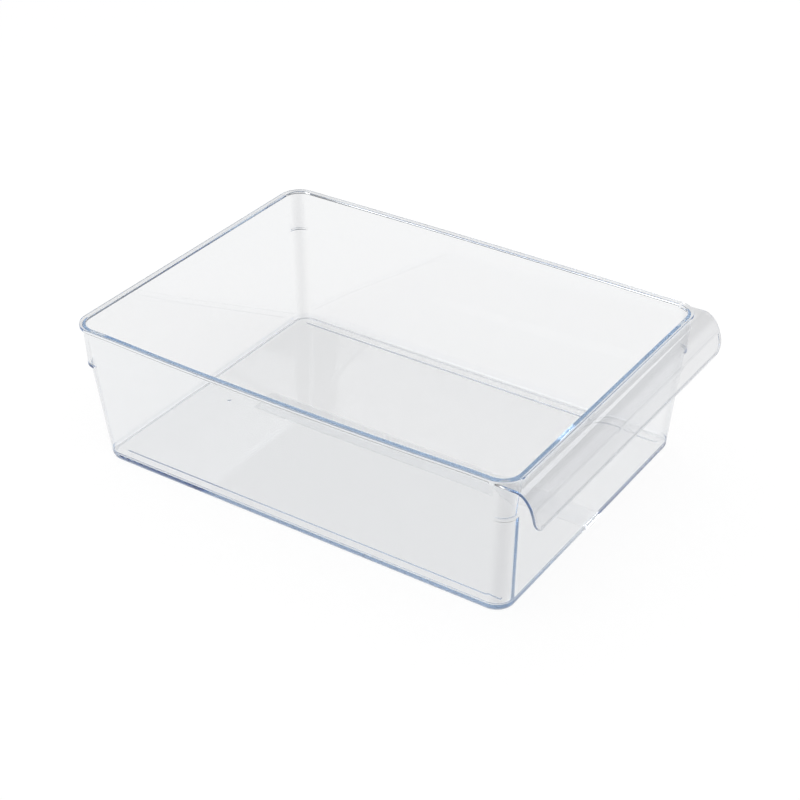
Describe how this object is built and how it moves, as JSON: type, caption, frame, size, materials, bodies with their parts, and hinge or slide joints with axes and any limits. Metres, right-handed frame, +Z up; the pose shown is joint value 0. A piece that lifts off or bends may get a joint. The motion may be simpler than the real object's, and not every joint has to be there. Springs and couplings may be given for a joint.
{
  "type": "fridge storage bin",
  "caption": "Open-topped clear plastic bin for a fridge shelf, with leaning walls, a flanged rim, corner nesting ledges and a full-width curved pull handle.",
  "frame": {"origin": "middle of the bounding box, at the bottom, on the shelf", "axes": "+Y along the bin from the handle to the back, +X across it, +Z up"},
  "size_m": [0.2428, 0.336, 0.0987],
  "materials": {
    "clear_plastic": "clear, glossy, with a blue tint seen through the edges"
  },
  "bodies": {
    "root": {"base_corner_front_left": "clear_plastic", "base_corner_front_right": "clear_plastic", "base_corner_rear_left": "clear_plastic", "base_corner_rear_right": "clear_plastic", "base_rail_front_centre": "clear_plastic", "base_rail_front_left": "clear_plastic", "base_rail_front_right": "clear_plastic", "base_rail_left": "clear_plastic", "base_rail_rear": "clear_plastic", "base_rail_right": "clear_plastic", "corner_post_front_left": "clear_plastic", "corner_post_front_right": "clear_plastic", "corner_post_rear_left": "clear_plastic", "corner_post_rear_right": "clear_plastic", "floor_panel": "clear_plastic", "handle_flange": "clear_plastic", "handle_panel": "clear_plastic", "handle_roll": "clear_plastic", "nesting_ledge_front_left": "clear_plastic", "nesting_ledge_front_right": "clear_plastic", "nesting_ledge_rear_left": "clear_plastic", "nesting_ledge_rear_right": "clear_plastic", "rim_corner_front_left": "clear_plastic", "rim_corner_front_right": "clear_plastic", "rim_corner_rear_left": "clear_plastic", "rim_corner_rear_right": "clear_plastic", "rim_rail_front": "clear_plastic", "rim_rail_left": "clear_plastic", "rim_rail_rear": "clear_plastic", "rim_rail_right": "clear_plastic", "shoulder_front_left": "clear_plastic", "shoulder_front_right": "clear_plastic", "shoulder_rear_left": "clear_plastic", "shoulder_rear_right": "clear_plastic", "wall_front": "clear_plastic", "wall_left": "clear_plastic", "wall_rear": "clear_plastic", "wall_right": "clear_plastic"}
  },
  "joints": []
}
